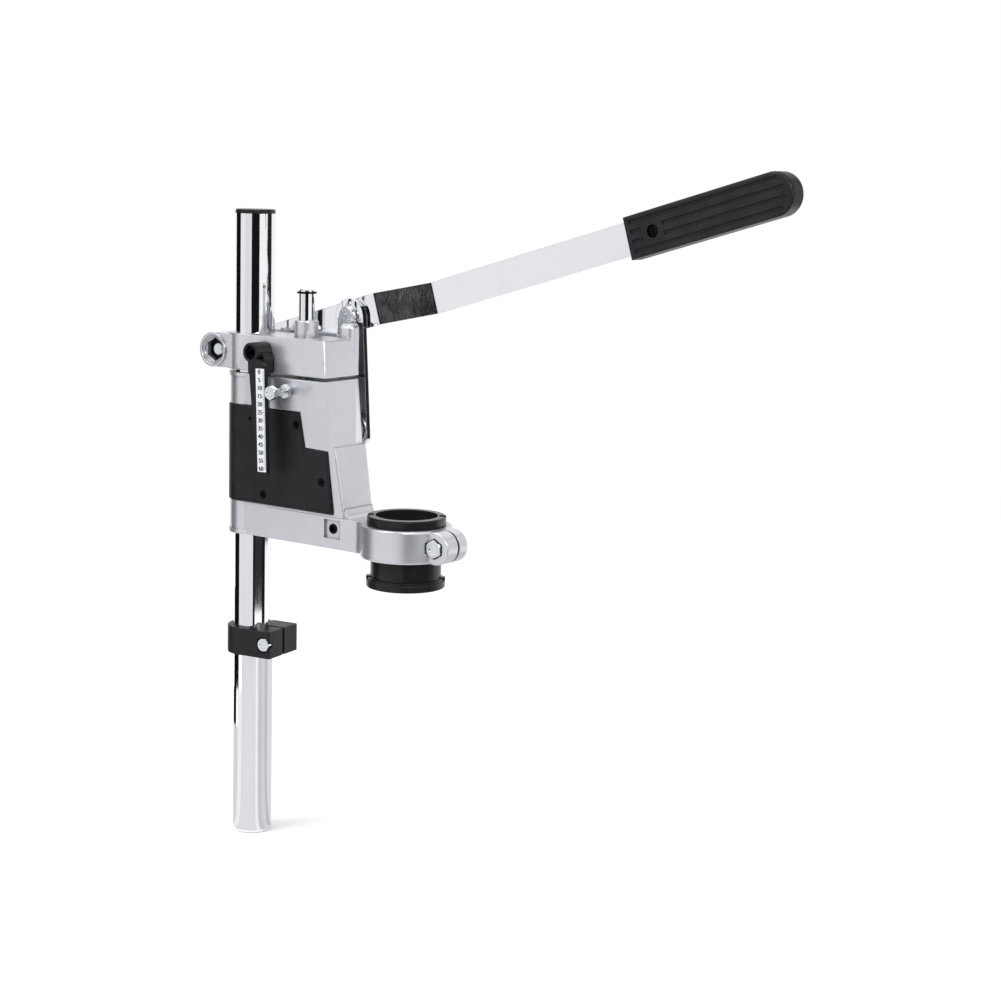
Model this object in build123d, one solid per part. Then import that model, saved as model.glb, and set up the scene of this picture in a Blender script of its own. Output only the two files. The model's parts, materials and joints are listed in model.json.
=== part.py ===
from build123d import *
import math
import os

# Bench drill stand without its base: a column, a head clamped on it, and a
# lever-fed carriage with a clamping collar for a drill.
# Frame: origin at the centre of the column's foot, +Z up the column, +X towards
# the drill collar, -Y the side with the depth scale. All sizes in millimetres.

# ---- column
column_diameter = 25.0
column_length = 400.0
column_wall = 2.0
foot_length = 118.1
foot_line_width = 0.8
foot_line_depth = 0.6
cap_thickness = 2.6
cap_plug_depth = 9.0

# ---- fits
sliding_gap = 0.05
clamp_gap = 0.02
bolt_gap = 0.15
hinge_gap = 0.05
seat_gap = 0.3

# ---- head casting, clamped on the column
head_bottom = 302.5
head_height = 22.7
head_wall_top = 1.8
head_wall_bottom = 4.1
head_front_top = 70.0
head_front_bottom = 73.0
head_rear = -5.0
arm_wall = 2.9
arm_radius = 10.8
clamp_slit = 2.4
corner_radius = 1.8
rim_radius = 0.7
rib_front = 71.5
rib_length = 11.0
rib_near = 9.3
rib_far = 16.9
rib_rise = 9.3

# ---- lever pivot through the rear of the head
pivot_x = -21.0
pivot_z = 313.6
pivot_bolt = 8.0
pivot_boss = 5.2
nut_pocket_depth = 8.0

# ---- guide rod and return spring
rod_x = 43.3
rod_diameter = 10.0
rod_top = 354.8
rod_bottom = 203.5
rod_boss_diameter = 15.0
rod_boss_height = 10.4
ring_thickness = 1.1
ring_proud = 1.15
ring_groove = 0.5
spring_clearance = 1.0
spring_wire = 1.6
spring_turns = 11
well_clearance = 1.4

# ---- carriage casting
carriage_gap = 2.0
carriage_bottom = 198.0
sleeve_wall = 1.6
lip_overhang = 0.75
lip_height = 2.2
side_wall = 1.8
shoulder_x = 20.9
shoulder_end = 30.1
front_low_x = 87.5
front_low_z = 219.0
front_rise = 0.1742
ledge_z = 260.7
panel_depth = 0.8
bush_wall = 0.95
bush_length = 17.0
cavity_floor = 221.5
cavity_roof = 278.0
cavity_far = 9.0
cavity_rear = 14.5

# ---- drill collar
collar_x = 125.0
collar_wall = 6.5
collar_height = 19.5
ear_x = 155.0
ear_radius = 10.0
ear_near = -11.0
ear_far = 9.0
ear_slit = 1.8
foot_radius = 6.0
waist_radius = 8.0
collar_bolt = 6.0
adapter_bore = 38.0
adapter_wall = 2.5
adapter_flange_rim = 2.5
adapter_flange_height = 5.5
adapter_foot_height = 4.6
adapter_length = 43.6

# ---- side cover
cover_thickness = 2.0
wrap_thickness = 1.2
cover_proud = 0.8
cover_bottom = 219.3
cover_top = 280.3

# ---- depth scale and pointer
scale_x = 22.3
scale_z = 315.6
scale_tilt = 2.0
socket_diameter = 12.2
socket_reach = 11.9
bar_thickness = 3.0
bar_left_top = -1.6
bar_left_bottom = 3.0
bar_right = 11.5
bar_drop = 75.0
label_left = 4.4
label_width = 6.8
label_length = 64.0
label_thickness = 0.4
pointer_x = 42.7
pointer_z = 292.6
pointer_thread = 5.0
pointer_reach = 4.5

# ---- link between lever and carriage
link_bottom_x = 64.7
link_bottom_z = 268.0
link_top_x = 60.3
link_width = 22.0
link_thickness = 3.3
link_pin = 8.0
dome_diameter = 13.6
dome_height = 3.2

# ---- lever
lever_slope = 16.75
lever_width = 20.0
lever_thickness = 4.5
joggle_start = 104.3
joggle_end = 127.9
joggle_offset = 29.7
lever_tip = 377.0
slot_travel = 5.6
slot_clearance = 0.85
grip_start = 276.5
grip_end = 387.7
grip_width = 25.4
grip_thickness = 13.0
grip_screw_from_start = 18.2
grip_screw = 4.0

# ---- depth stop on the column
stop_bottom = 119.0
stop_height = 17.5
stop_half = 16.0
stop_wall = 3.9
stop_front = 23.5
stop_slit = 2.2
stop_turn = 8.0
stop_bolt = 5.0
stop_bolt_x = 18.6

head_top = head_bottom + head_height
carriage_top = head_bottom - carriage_gap
collar_top = carriage_bottom + collar_height
column_bore = column_diameter + 2 * sliding_gap
bush_outer = column_bore + 2 * bush_wall
column_radius = column_diameter / 2
sleeve_radius = bush_outer / 2 + sleeve_wall
lip_radius = sleeve_radius + lip_overhang
side_half = column_radius + side_wall
head_half_top = column_radius + head_wall_top
head_half_bottom = column_radius + head_wall_bottom
arm_half = column_radius + arm_wall
pivot_face = arm_half + pivot_boss
cover_face = sleeve_radius + cover_proud
socket_face = head_half_bottom + socket_reach
bracket_seat = head_half_top + 0.9
pointer_head_face = socket_face + pointer_reach
spring_outer = rod_diameter + 2 * (spring_clearance + spring_wire)
spring_well = spring_outer + 2 * well_clearance
adapter_neck = adapter_bore + 2 * adapter_wall
adapter_flange = adapter_neck + 2 * adapter_flange_rim
collar_outer_radius = adapter_neck / 2 + collar_wall
stop_rear_radius = column_radius + stop_wall
lever_near = pivot_face + link_thickness + 0.4
lever_far = lever_near + lever_thickness
slope = math.radians(lever_slope)


# ---- small shape helpers
def rod_z(radius, low, high, x=0.0, y=0.0):
    return Pos(x, y, (low + high) / 2) * Cylinder(radius, high - low)


def rod_y(radius, near, far, x, z):
    return Pos(x, (near + far) / 2, z) * Rot(90, 0, 0) * Cylinder(radius, far - near)


def block(x0, x1, y0, y1, z0, z1):
    centre = Pos((x0 + x1) / 2, (y0 + y1) / 2, (z0 + z1) / 2)
    return centre * Box(x1 - x0, y1 - y0, z1 - z0)


def tube_z(outer, inner, low, high, x=0.0, y=0.0):
    return rod_z(outer, low, high, x, y) - rod_z(inner, low - 1, high + 1, x, y)


def plate_y(points, near, far):
    """Plate with an outline of (x, z) points, from y=near to y=far."""
    outline = Polyline(*[(x, 0, z) for x, z in points], close=True)
    face = make_face(outline.edges())
    solid = extrude(face, amount=far - near, dir=(0, 1, 0))
    return Pos(0, near, 0) * solid


def prism_y(sides, across_flats, near, far, x, z, turn=0.0):
    face = RegularPolygon(across_flats / 2, sides, major_radius=False)
    solid = extrude(face, amount=far - near)
    return Pos(x, far, z) * Rot(90, 0, 0) * Rot(0, 0, turn) * solid


def soften(shape, edges, radius):
    """Round a list of edges, one by one if they can't be rounded together."""
    try:
        return shape.fillet(radius, edges)
    except Exception:
        return shape


def single(shape):
    solids = shape.solids()
    return max(solids, key=lambda s: s.volume)


def front_at(z):
    return front_low_x - front_rise * (z - front_low_z)


def along_lever(distance, across=0.0):
    """Point (x, z) on the lever, measured from the pivot along its line."""
    x = pivot_x + distance * math.cos(slope) - across * math.sin(slope)
    z = pivot_z + distance * math.sin(slope) + across * math.cos(slope)
    return x, z


link_top_z = pivot_z + (link_top_x - pivot_x) * math.tan(slope)
link_top_distance = (link_top_x - pivot_x) / math.cos(slope)


# ---- column
def column_tube():
    bore = column_diameter / 2 - column_wall
    tube = tube_z(column_diameter / 2, bore, 0, column_length)
    rims = [e for e in tube.edges().filter_by(GeomType.CIRCLE) if e.radius < bore + 0.1]
    tube = tube.chamfer(0.5, None, rims)
    line = tube_z(column_diameter, column_diameter / 2 - foot_line_depth, foot_length, foot_length + foot_line_width)
    return tube - line


def column_cap():
    plug_radius = column_diameter / 2 - column_wall - 0.05
    top = column_length + cap_thickness
    disc = rod_z(column_diameter / 2 + 0.1, column_length, top)
    rim = disc.edges().filter_by(GeomType.CIRCLE).group_by(Axis.Z)[-1]
    disc = disc.fillet(1.0, rim)
    plug = tube_z(plug_radius, plug_radius - 1.6, column_length - cap_plug_depth, column_length + 0.5)
    return disc + plug


# ---- head
def drafted_body(half_low, half_high, low, high, rear, front_low, front_high):
    base = Pos((rear + front_low) / 2, 0, low) * Rectangle(front_low - rear, 2 * half_low)
    top = Pos((rear + front_high) / 2, 0, high) * Rectangle(front_high - rear, 2 * half_high)
    body = loft([base.face(), top.face()])
    upright = [e for e in body.edges() if abs(e.tangent_at(0.5).Z) > 0.8]
    upright = [e for e in upright if e.center().X > (rear + front_low) / 2]
    body = body.fillet(corner_radius, upright)
    rims = [e for e in body.edges() if abs(e.center().Z - high) < 0.01 or abs(e.center().Z - low) < 0.01]
    rims = [e for e in rims if e.center().X > rear + 0.1]
    return soften(body, rims, rim_radius)


def head_casting():
    body = drafted_body(head_half_bottom, head_half_top, head_bottom, head_top,
                        head_rear, head_front_bottom, head_front_top)
    lean = plate_y([(-30, head_bottom - 1), (1.6, head_bottom - 1), (head_rear - 0.3, 314.6), (-30, 314.6)], -30, 30)
    body -= lean & (block(-40, 40, -30, -arm_half, 290, 330) + block(-40, 40, arm_half, 30, 290, 330))
    arm = block(pivot_x, shoulder_x - 20, -arm_half, arm_half, pivot_z - arm_radius + 0.2, head_top - 0.9)
    arm += rod_y(arm_radius, -arm_half - 1.2, pivot_face, pivot_x, pivot_z)
    arm += rod_z(column_bore / 2 + 3.6, head_bottom, head_top)
    rib = block(rib_front - rib_length, rib_front, rib_near, rib_far, head_bottom, head_top + rib_rise)
    crown = [e for e in rib.edges().filter_by(Axis.Y) if e.center().Z > head_top]
    rib = rib.fillet(3.0, crown)
    near_edges = [e for e in rib.edges().filter_by(Axis.Z) if e.center().Y < rib_near + 0.1]
    rib = soften(rib, near_edges, 4.0)
    casting = body + arm + rib
    casting += rod_z(rod_boss_diameter / 2, head_top - 1, head_top + rod_boss_height, rod_x)
    casting -= rod_z(column_diameter / 2 + clamp_gap, head_bottom - 5, head_top + 5)
    casting -= block(pivot_x - 20, 0, -clamp_slit / 2, clamp_slit / 2, head_bottom - 5, head_top + 5)
    casting -= rod_z(rod_diameter / 2, head_bottom - 5, head_top + 40, rod_x)
    near = -arm_half - 1.2
    casting -= rod_y(9.2, near - 1, near + 1.2, pivot_x, pivot_z)
    casting -= rod_y(8.0, near - 1, near + 2.4, pivot_x, pivot_z)
    casting -= prism_y(6, 13.0 + 2 * bolt_gap, near - 1, near + 2.4 + nut_pocket_depth, pivot_x, pivot_z, 30)
    casting -= rod_y(pivot_bolt / 2 + bolt_gap, -30, 30, pivot_x, pivot_z)
    casting -= rod_y(socket_diameter / 2 + 0.2, -socket_face, -bracket_seat, scale_x, scale_z)
    casting -= rod_y(2.1, -bracket_seat - 1, -bracket_seat + 9, scale_x, scale_z)
    boss_rim = casting.edges().filter_by(GeomType.CIRCLE)
    boss_rim = [e for e in boss_rim if abs(e.center().Z - head_top - rod_boss_height) < 0.01 and e.radius > 6]
    casting = soften(casting, boss_rim, 0.8)
    return single(casting)


def hex_body_y(flats, near, far, x, z, turn=0.0):
    barrel = rod_y(flats * 0.56, near, far, x, z)
    barrel = barrel.chamfer(0.45, None, barrel.edges().filter_by(GeomType.CIRCLE))
    return prism_y(6, flats, near, far, x, z, turn) & barrel


def hex_bolt_y(size, flats, head, head_at, tip_at, x, z, turn=0.0):
    """Hexagon bolt on a line along Y; the head grows away from the tip."""
    away = 1 if head_at > tip_at else -1
    near, far = sorted((head_at, head_at + away * head))
    low, high = sorted((head_at, tip_at))
    shank = rod_y(size / 2, low - 0.01, high + 0.01, x, z)
    bolt = hex_body_y(flats, near, far, x, z, turn) + shank
    outer = head_at + away * head
    low, high = sorted((outer + away, outer - away * 0.5))
    dish = rod_y(flats * 0.3, low, high, x, z)
    tips = [e for e in bolt.edges().filter_by(GeomType.CIRCLE) if abs(e.center().Y - tip_at) < 0.05]
    return bolt.chamfer(size * 0.08, None, tips) - dish


def hex_nut_y(size, flats, near, far, x, z, turn=0.0):
    return hex_body_y(flats, near, far, x, z, turn) - rod_y(size / 2 + 0.02, near - 1, far + 1, x, z)


def washer_y(outer, inner, near, far, x, z):
    return rod_y(outer / 2, near, far, x, z) - rod_y(inner / 2, near - 1, far + 1, x, z)


def lever_pivot_parts():
    near = -arm_half - 1.2
    nut_far = near + 2.4 + nut_pocket_depth
    nut_near = nut_far - 4.5
    bush_end = lever_far + seat_gap
    washer_end = bush_end + 1.6
    spacer_end = lever_near - seat_gap
    place = (pivot_x, pivot_z)
    bolt = hex_bolt_y(pivot_bolt, 13.0, 5.3, washer_end, nut_near - 1.0, *place, turn=30)
    return {
        "lever_pivot_bolt": bolt,
        "lever_pivot_nut": hex_nut_y(pivot_bolt, 13.0, nut_near, nut_far, *place, turn=30),
        "lever_pivot_spacer": washer_y(18.0, pivot_bolt + 2 * bolt_gap, pivot_face, spacer_end, *place),
        "lever_pivot_bush": washer_y(12.0, pivot_bolt + 0.04, spacer_end, bush_end, *place),
        "lever_pivot_washer": washer_y(18.0, pivot_bolt + 2 * bolt_gap, bush_end, washer_end, *place),
    }


# ---- guide rod, its rings and the return spring
ring_z = [rod_bottom + 1.4, rod_top - 2.6]
seat_top = ring_z[0] + ring_thickness + 1.6
well_roof = carriage_top - 8.5


def guide_rod():
    rod = rod_z(rod_diameter / 2, rod_bottom, rod_top, rod_x)
    ends = rod.edges().filter_by(GeomType.CIRCLE)
    rod = rod.chamfer(0.6, None, ends)
    for z in ring_z:
        rod -= tube_z(rod_diameter, rod_diameter / 2 - ring_groove, z, z + ring_thickness, rod_x)
    return rod


def retaining_ring(z):
    inner = rod_diameter / 2 - ring_groove
    outer = rod_diameter / 2 + ring_proud
    ring = tube_z(outer, inner, z + 0.02, z + ring_thickness - 0.02, rod_x)
    return ring - block(rod_x - 8, rod_x, -1.6, 1.6, z - 1, z + 3)


def spring_seat():
    low = ring_z[0] + ring_thickness
    return tube_z(spring_outer / 2 + 0.6, rod_diameter / 2 + sliding_gap, low, seat_top, rod_x)


def return_spring():
    radius = (spring_outer - spring_wire) / 2
    low, high = seat_top + spring_wire / 2 + 0.05, well_roof - spring_wire / 2 - 0.05
    pitch = (high - low) / spring_turns
    path = Helix(pitch, high - low, radius)
    wire = Plane(origin=path @ 0, z_dir=path % 0) * Circle(spring_wire / 2)
    return Pos(rod_x, 0, low) * sweep(wire, path, is_frenet=True)


# ---- carriage
def carriage_profile(low, high):
    points = [(shoulder_x, low), (front_at(low), low), (front_at(high), high), (shoulder_x, high)]
    return points


def carriage_shell():
    """Solid outside shape of the carriage, before the bores and hollows."""
    low, top = carriage_bottom, carriage_top
    sleeve = rod_z(sleeve_radius, low, top)
    sleeve += rod_z(lip_radius, top - lip_height, top)
    sleeve += rod_z(lip_radius, low, low + lip_height)
    rear = block(0, shoulder_x + 3, -side_half, side_half, low, top)
    front = drafted_body(side_half, head_half_bottom, collar_top, top,
                         shoulder_x, front_at(collar_top), front_at(top))
    for side in (-1, 1):
        slant = make_face(Polyline(
            (shoulder_x - 5, side * side_half, low), (shoulder_x, side * side_half, low),
            (shoulder_end, side * (head_half_bottom + 0.1), low), (shoulder_end, side * 30, low),
            (shoulder_x - 5, side * 30, low), close=True).edges())
        front -= extrude(slant, amount=top - low, dir=(0, 0, 1))
    band = block(0, collar_x, -side_half, side_half, low, collar_top)
    foot = front_at(collar_top)
    fillet_run = plate_y([(foot - 2, collar_top - 1), (foot + foot_radius, collar_top - 1),
                          (foot + foot_radius, collar_top), (foot - 0.2, collar_top + foot_radius)],
                         -side_half + 1.2, side_half - 1.2)
    scoop = rod_y(foot_radius, -30, 30, foot + foot_radius - 0.1, collar_top + foot_radius)
    ring = rod_z(collar_outer_radius, low - 0.5, collar_top, collar_x)
    ring = ring.fillet(1.2, ring.edges().filter_by(GeomType.CIRCLE))
    ears = rod_y(ear_radius, ear_near, ear_far, ear_x, low - 0.5 + ear_radius)
    ears = ears.fillet(0.8, ears.edges().filter_by(GeomType.CIRCLE))
    ears += block(collar_x + 18, ear_x, ear_near + 0.8, ear_far - 0.8, low - 0.5, collar_top)
    shell = sleeve + rear + front + band + (fillet_run - scoop) + ring + ears
    for side in (-1, 1):
        shell += waist_fillet(side)
    return shell


def waist_fillet(side):
    """Hollow corner where the arm's flat side runs into the collar."""
    across = side_half + waist_radius
    reach = math.sqrt((collar_outer_radius + waist_radius) ** 2 - across ** 2)
    share = collar_outer_radius / (collar_outer_radius + waist_radius)
    start = collar_x - reach
    end = collar_x - reach * share + 0.2
    low = sorted((side * (side_half - 3), side * across * share))
    web = block(start, end, low[0], low[1], carriage_bottom, collar_top)
    return web - rod_z(waist_radius, carriage_bottom - 1, collar_top + 1, start, side * across)


def cover_outline(inset=0.0):
    """Outline of the cover's flat side, as (x, z) points from the column forward."""
    front_low = front_at(cover_bottom) - 8.3
    return [
        (0, cover_bottom + inset),
        (front_low - inset, cover_bottom + inset),
        (75.0 - inset, 257.8 - inset),
        (56.6 - inset, 258.4 - inset),
        (52.6 - inset, cover_top - inset),
        (26.8 - inset, cover_top - inset),
        (19.4 - inset, 285.2 - inset),
        (13.0 + inset, 285.2 - inset),
        (13.0 + inset, cover_top - inset),
        (0, cover_top - inset),
    ]


screw_places = [(49.4, 272.2), (70.4, 238.6), (22.4, 225.4)]


def carriage_cavity():
    outline = cover_outline(inset=2.4)
    outline = [(x if x > 1 else cavity_rear, min(z, cavity_roof)) for x, z in outline]
    outline = [p for i, p in enumerate(outline) if i in (0, 1, 2, 3, 4, 9)]
    hollow = plate_y(outline, -30, cavity_far)
    well = rod_z(spring_well / 2, rod_bottom - 0.5, well_roof, rod_x)
    return hollow + well


def carriage_casting():
    casting = carriage_shell()
    ledge = plate_y([(front_at(ledge_z) - panel_depth, ledge_z), (front_at(ledge_z) + 5, ledge_z),
                     (front_at(carriage_top) + 5, carriage_top + 1),
                     (front_at(carriage_top) - panel_depth, carriage_top + 1)], -30, 30)
    casting -= ledge
    relief = extrude(make_face(Polyline(
        (front_at(ledge_z) - panel_depth + 0.05, 5.8, ledge_z), (front_at(ledge_z) - 4.2, 17.5, ledge_z),
        (front_at(ledge_z) + 9, 17.5, ledge_z), (front_at(ledge_z) + 9, 5.8, ledge_z), close=True).edges()),
        amount=60, dir=(-front_rise, 0.19, 1))
    casting -= relief
    casting -= carriage_cavity()
    # near half of the sleeve is open behind the cover
    casting -= block(-20, cavity_rear, -30, 0, cover_bottom - 0.2, cover_top + 0.2)
    groove = tube_z(sleeve_radius + 5, cover_face - wrap_thickness - 0.05, cover_bottom - 0.2, cover_top + 0.2)
    casting -= groove - block(0, 40, -40, 40, carriage_bottom, carriage_top)
    seat = [(x - 30 if x < 1 else x, z) for x, z in cover_outline(inset=-0.25)]
    casting -= plate_y(seat, -30, -cover_face + cover_thickness)
    for x, z in screw_places:
        lug = rod_y(4.2, -cover_face + cover_thickness, -8.4, x, z)
        casting += lug
    casting += block(72.5, 79, -cover_face + cover_thickness, -8.4, 235.6, 241.6)
    casting -= rod_z(column_bore / 2 + 0.6, carriage_bottom - 5, carriage_top + 5)
    for low in bush_floors():
        casting -= rod_z(bush_outer / 2, low, low + bush_length)
    casting -= rod_z(6.5, well_roof - 1, carriage_top + 5, rod_x)
    casting += rod_y(9.0, cavity_far, pivot_face - 0.7, link_bottom_x, link_bottom_z)
    casting -= rod_y(3.0, cavity_far - 2, pivot_face + 2, link_bottom_x, link_bottom_z)
    for x, z in screw_places:
        casting -= rod_y(1.25, -cover_face, -8.0, x, z)
    # drill collar
    casting -= rod_z(adapter_neck / 2 + 0.1, carriage_bottom - 5, collar_top + 5, collar_x)
    casting -= block(collar_x + 15, collar_x + 60, -ear_slit / 2, ear_slit / 2,
                     carriage_bottom - 5, collar_top + 5)
    bolt_z = carriage_bottom - 0.5 + ear_radius
    casting -= rod_y(collar_bolt / 2 + bolt_gap, ear_near - 5, ear_far + 5, ear_x, bolt_z)
    casting -= prism_y(6, 11.2, ear_near - 15, ear_near + 2.6, ear_x, bolt_z, 30)
    casting -= prism_y(6, 10.4, ear_far - 3.0, ear_far + 15, ear_x, bolt_z, 30)
    # square seat and tapped hole of the arm's set screw
    casting -= block(71.6, 84.0, -20, -side_half + 1.6, 204.2, 215.9)
    casting -= rod_y(3.0, -20, -2, arm_screw_x, arm_screw_z)
    # pointer thread
    casting -= rod_y(pointer_thread * 0.42, -25, -9.0, pointer_x, pointer_z)
    return single(casting)


arm_screw_x = 77.7
arm_screw_z = 210.2


def bush_floors():
    return [carriage_bottom + 1.5, carriage_top - 1.5 - bush_length]


def column_bush(low):
    return tube_z(bush_outer / 2, column_bore / 2, low, low + bush_length)


def rod_bush():
    return tube_z(6.5, rod_diameter / 2 + sliding_gap, well_roof, carriage_top - 0.2, rod_x)


def side_cover():
    inner = cover_face - cover_thickness
    flat = plate_y(cover_outline(), -cover_face, -inner)
    corners = [e for e in flat.edges().filter_by(Axis.Y) if e.center().X > 15]
    flat = soften(flat, corners, 1.4)
    wrap = tube_z(cover_face, cover_face - wrap_thickness, cover_bottom, cover_top)
    wrap -= block(0, 40, -40, 40, cover_bottom - 5, cover_top + 5)
    cover = flat + wrap
    for x, z in screw_places:
        cover -= rod_y(2.7, -cover_face - 1, -cover_face + 1.3, x, z)
        cover -= rod_y(1.6, -cover_face - 1, -inner + 1, x, z)
    cover -= rod_y(1.1, -cover_face - 1, -cover_face + 1.0, 10.8, 272.6)
    outer = [e for e in cover.faces().sort_by(Axis.Y)[0].outer_wire().edges() if e.center().X > 1]
    return single(soften(cover, outer, 0.5))


def cover_screw(x, z):
    face = -cover_face + 1.3
    head = rod_y(2.5, face - 1.0, face, x, z)
    head -= prism_y(6, 1.9, face - 1.5, face - 0.35, x, z)
    return head + rod_y(1.22, face - 0.01, -9.5, x, z)


def drill_adapter():
    bottom = collar_top + adapter_flange_height - adapter_length
    top = bottom + adapter_length
    body = rod_z(adapter_neck / 2, bottom, top, collar_x)
    upper = rod_z(adapter_flange / 2, collar_top, top, collar_x)
    upper = upper.fillet(0.8, upper.edges().filter_by(GeomType.CIRCLE))
    lower = rod_z(adapter_flange / 2, bottom, bottom + adapter_foot_height, collar_x)
    lower = lower.fillet(0.8, lower.edges().filter_by(GeomType.CIRCLE))
    lower += rod_z(adapter_flange / 2 - 1.0, bottom + 1, bottom + adapter_foot_height + 1.0, collar_x)
    adapter = body + upper + lower
    adapter -= rod_z(adapter_bore / 2, bottom - 5, top + 5, collar_x)
    for turn in (35, 215):
        notch = Box(7.0, 5.6, 3.4)
        place = Pos(collar_x, 0, top) * Rot(0, 0, turn) * Pos(adapter_flange / 2 - 0.6, 0, 0)
        adapter -= place * notch
        tab = block(adapter_neck / 2 - 0.5, adapter_flange / 2, -2.4, 2.4, 0, 1.6)
        adapter += Pos(collar_x, 0, bottom + adapter_foot_height - 0.1) * Rot(0, 0, turn) * tab
    return single(adapter)


def collar_bolt_parts():
    bolt_z = carriage_bottom - 0.5 + ear_radius
    head_at = ear_near + 2.6
    nut_near = ear_far - 3.0
    bolt = hex_bolt_y(collar_bolt, 10.0, 4.0, head_at, nut_near + 7.0, ear_x, bolt_z, turn=30)
    nut = hex_nut_y(collar_bolt, 10.0, nut_near, nut_near + 5.0, ear_x, bolt_z, turn=30)
    return {"collar_bolt": bolt, "collar_nut": nut}


def arm_set_screw():
    screw = rod_y(2.98, -side_half + 1.0, -4.0, arm_screw_x, arm_screw_z)
    return screw - prism_y(6, 3.0, -side_half - 1, -side_half + 4.0, arm_screw_x, arm_screw_z)


# ---- depth pointer
def pointer_parts():
    face = -pointer_head_face
    head_at = face + 3.5
    wall = -head_half_bottom - 0.05
    place = (pointer_x, pointer_z)
    screw = hex_bolt_y(pointer_thread, 8.0, 3.5, head_at, -9.2, *place, turn=30)
    core = rod_y(pointer_thread * 0.42, wall, 0, *place)
    screw = screw & (block(0, 90, face - 1, wall, 250, 330) + core)
    nut = hex_nut_y(pointer_thread, 8.0, wall - 4.0, wall, *place, turn=30)
    return {"pointer_screw": screw, "pointer_lock_nut": nut}


# ---- depth scale
def tilted(shape):
    hub = Pos(scale_x, 0, scale_z)
    return hub * Rot(0, -scale_tilt, 0) * shape


def scale_bracket():
    face = -socket_face
    back = -bracket_seat
    socket = Pos(0, (face + back) / 2, 0) * Rot(90, 0, 0) * Cylinder(socket_diameter / 2, back - face)
    rims = [e for e in socket.edges().filter_by(GeomType.CIRCLE) if e.center().Y < back - 1]
    socket = socket.fillet(0.6, rims)
    half = socket_diameter / 2
    web = block(-half + 1.5, half + 2.3, -head_half_bottom - 7.9, -head_half_bottom - 0.05, -13.2, 0)
    web = soften(web, [e for e in web.edges().filter_by(Axis.Y) if e.center().X > 0 and e.center().Z > -1], 5.0)
    front = face + 0.4
    bar = plate_y([(bar_left_top, -4), (bar_left_top, -10), (bar_left_bottom, -bar_drop),
                   (bar_right, -bar_drop), (bar_right, -8), (half, -4)], front, front + bar_thickness)
    bar = soften(bar, bar.edges().filter_by(Axis.Y), 0.8)
    bridge = block(-half + 1.5, half + 2.3, front + bar_thickness - 0.5, -head_half_bottom - 4.4, -13.2, -4)
    bracket = socket + web + bar + bridge
    bracket -= Pos(0, face, 0) * Rot(90, 0, 0) * Cylinder(4.4, 12)
    bracket -= Pos(0, (face + back) / 2, 0) * Rot(90, 0, 0) * Cylinder(2.65, 30)
    return single(tilted(bracket))


def scale_label():
    low = -label_length - 9.6
    back = -socket_face + 0.4
    label = block(label_left, label_left + label_width, back - label_thickness, back, low, -9.6)
    return tilted(label)


def scale_screw():
    head_near = -socket_face + 2.0
    head_far = -socket_face + 6.0
    head = rod_y(4.2, head_near, head_far, scale_x, scale_z)
    head -= prism_y(6, 4.0, head_near - 1, head_near + 2.4, scale_x, scale_z)
    screw = head + rod_y(2.5, head_far - 0.01, -bracket_seat - 0.1, scale_x, scale_z)
    return screw + rod_y(2.05, -bracket_seat - 0.2, -bracket_seat + 8, scale_x, scale_z)


# ---- link
def link_plate():
    half = link_width / 2
    top, bottom = (link_top_x, link_top_z), (link_bottom_x, link_bottom_z)
    lean = math.degrees(math.atan2(bottom[0] - top[0], top[1] - bottom[1]))
    length = math.dist(top, bottom)
    plate = Rectangle(2 * half, length + 10.5, align=(Align.CENTER, Align.MIN))
    plate = Pos(0, -10.5) * plate
    plate = chamfer(plate.vertices().group_by(Axis.Y)[0], 4.2)
    plate += Pos(0, length) * Circle(half)
    plate -= Circle(link_pin / 2 + hinge_gap)
    plate -= Pos(0, length) * Circle(link_pin / 2)
    solid = extrude(plate, amount=link_thickness)
    solid = Rot(90, 0, 0) * solid
    place = Pos(bottom[0], pivot_face + link_thickness, bottom[1])
    return place * Rot(0, -lean, 0) * solid


def link_parts():
    top = (link_top_x, link_top_z)
    dome_near = pivot_face - dome_height
    dome = rod_y(dome_diameter / 2, dome_near, pivot_face, *top)
    rim = [e for e in dome.edges().filter_by(GeomType.CIRCLE) if e.center().Y < dome_near + 0.1]
    dome = dome.fillet(2.2, rim)
    slot = Rot(0, -8, 0) * block(-8, 8, dome_near - 1, dome_near + 1.3, -0.75, 0.75)
    dome -= Pos(top[0], 0, top[1]) * slot
    washer_near = lever_far + seat_gap
    washer_far = washer_near + 1.5
    dome += rod_y(link_pin / 2, pivot_face - 0.01, washer_far + 7.6, *top)
    shoulder_end = lever_near - 0.1
    low = (link_bottom_x, link_bottom_z)
    screw = rod_y(2.98, 10.5, pivot_face - 0.7, *low)
    screw += rod_y(link_pin / 2, pivot_face - 0.7, shoulder_end, *low)
    head = rod_y(6.5, shoulder_end - 0.01, shoulder_end + 3.6, *low)
    rim = [e for e in head.edges().filter_by(GeomType.CIRCLE) if e.center().Y > shoulder_end + 1]
    head = head.fillet(1.2, rim)
    head -= prism_y(6, 5.0, shoulder_end + 1.2, shoulder_end + 5, *low)
    return {
        "link_top_bolt": dome,
        "link_top_washer": washer_y(21.0, link_pin + 0.2, washer_near, washer_far, *top),
        "link_top_nut": hex_nut_y(link_pin, 13.0, washer_far, washer_far + 6.5, *top),
        "link_shoulder_screw": screw + head,
    }


# ---- lever
def lever_frame(shape):
    """Place a shape drawn along +X with its width along +Z on the lever's line."""
    return Pos(pivot_x, 0, pivot_z) * Rot(0, -lever_slope, 0) * shape


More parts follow.
